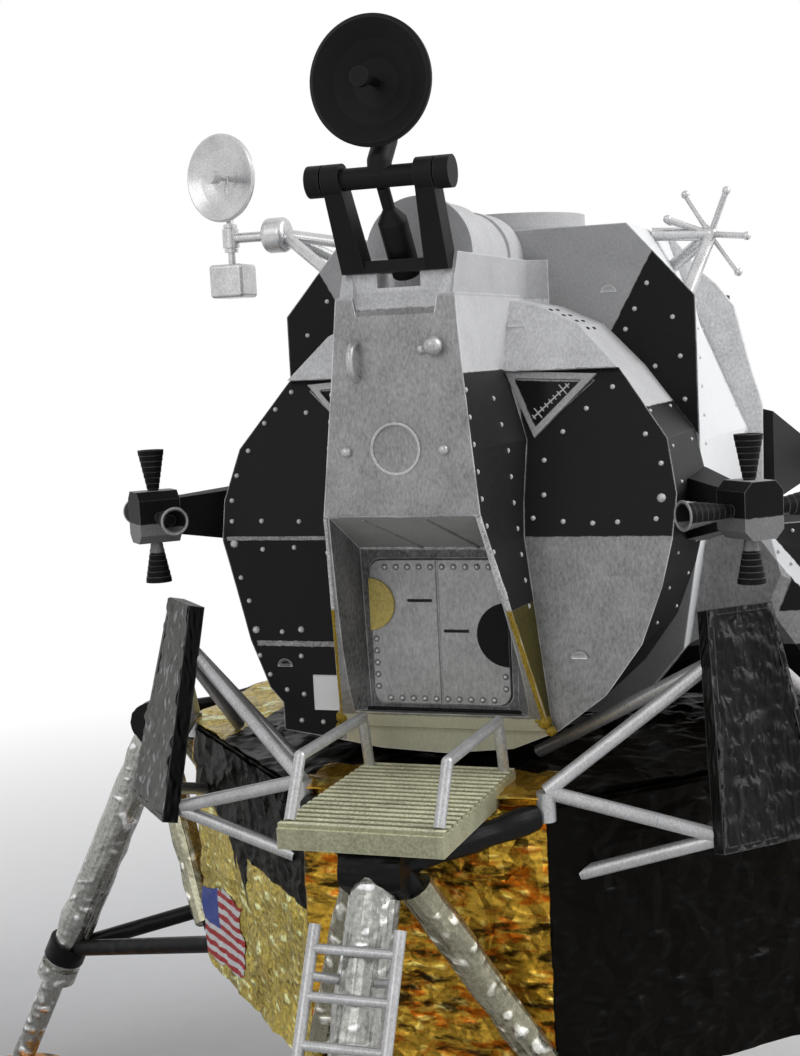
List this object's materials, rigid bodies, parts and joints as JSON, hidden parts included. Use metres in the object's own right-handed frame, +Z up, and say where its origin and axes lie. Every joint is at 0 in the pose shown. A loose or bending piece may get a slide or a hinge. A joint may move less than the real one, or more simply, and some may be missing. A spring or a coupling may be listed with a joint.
{
  "type": "lunar lander, two-stage scale model kit",
  "caption": "Two-stage lunar lander display model on four legs, with porch, ladder, thruster groups, radar and dish antennas.",
  "frame": {"origin": "on the ground under the middle of the four footpads", "axes": "+Z up, the hatch and porch face -Y, +X to the viewer's right when facing the hatch"},
  "size_m": [0.1968, 0.1968, 0.1503],
  "materials": {
    "silver_skin": "satin",
    "pale_skin": "satin",
    "grey_skin": "satin",
    "black_skin": "matte",
    "black_plastic": "satin",
    "black_metal": "satin",
    "black_foil": "satin",
    "gold_foil": "polished",
    "silver_foil": "polished",
    "silver": "satin",
    "khaki_metal": "satin",
    "dark_metal": "satin",
    "black_pane": "gloss"
  },
  "bodies": {
    "descent_stage": {"descent_box": "gold_foil", "descent_deck": "black_foil", "descent_engine_bell": "dark_metal", "outrigger_front": "black_foil", "outrigger_right": "black_foil", "outrigger_aft": "black_foil", "outrigger_left": "black_foil", "primary_strut_front": "silver_foil", "primary_strut_right": "silver_foil", "primary_strut_aft": "silver_foil", "primary_strut_left": "silver_foil", "secondary_struts_front": "black_foil", "secondary_struts_right": "black_foil", "secondary_struts_aft": "black_foil", "secondary_struts_left": "black_foil", "footpad_front": "gold_foil", "footpad_right": "gold_foil", "footpad_aft": "gold_foil", "footpad_left": "gold_foil", "deflector_front_right": "black_metal", "deflector_aft_right": "black_metal", "deflector_aft_left": "black_metal", "deflector_front_left": "black_metal", "deflector_struts_front_right": "silver", "deflector_struts_aft_right": "silver", "deflector_struts_aft_left": "silver", "deflector_struts_front_left": "silver", "ladder": "silver", "porch": "khaki_metal", "porch_rails": "silver"},
    "ascent_stage": {"cabin_shell": "silver_skin", "nose_fittings": "silver_skin", "hatch": "silver_skin", "window_right": "black_pane", "window_left": "black_pane", "tunnel_fairing": "pale_skin", "midsection": "grey_skin", "docking_ring": "pale_skin", "tank_fairing_right": "silver_skin", "tank_fairing_left": "silver_skin", "aft_bay": "grey_skin", "aft_rack": "black_skin", "aft_tank_right": "silver_skin", "aft_tank_left": "silver_skin", "thruster_group_front_right": "black_plastic", "thruster_group_aft_right": "black_plastic", "thruster_group_aft_left": "black_plastic", "thruster_group_front_left": "black_plastic", "thruster_arm_front_right": "black_skin", "thruster_arm_aft_right": "black_skin", "thruster_arm_aft_left": "black_skin", "thruster_arm_front_left": "black_skin", "ascent_engine_bell": "dark_metal", "radar_yoke": "black_plastic", "dish_boom": "silver", "whip_antenna": "silver"},
    "radar": {"radar_dish": "black_plastic"},
    "dish_elbow_body": {"dish_elbow": "silver"},
    "dish_head_body": {"dish_head": "silver"}
  },
  "joints": [
    {"name": "ascent_lift", "type": "slide", "parent": "descent_stage", "child": "ascent_stage", "axis": [0, 0, 1], "range_m": [0, 0.04]},
    {"name": "radar_tilt", "type": "hinge", "parent": "ascent_stage", "child": "radar", "pos_m": [0, -0.0471, 0.134], "axis": [1, 0, 0], "range_deg": [-45, 60]},
    {"name": "dish_tilt", "type": "hinge", "parent": "ascent_stage", "child": "dish_elbow_body", "pos_m": [-0.0348, -0.002, 0.1326], "axis": [1, 0, 0], "range_deg": [-80, 80]},
    {"name": "dish_swivel", "type": "hinge", "parent": "dish_elbow_body", "child": "dish_head_body", "pos_m": [-0.0402, -0.002, 0.1326], "axis": [0, 0, 1], "range_deg": [-90, 90]}
  ]
}
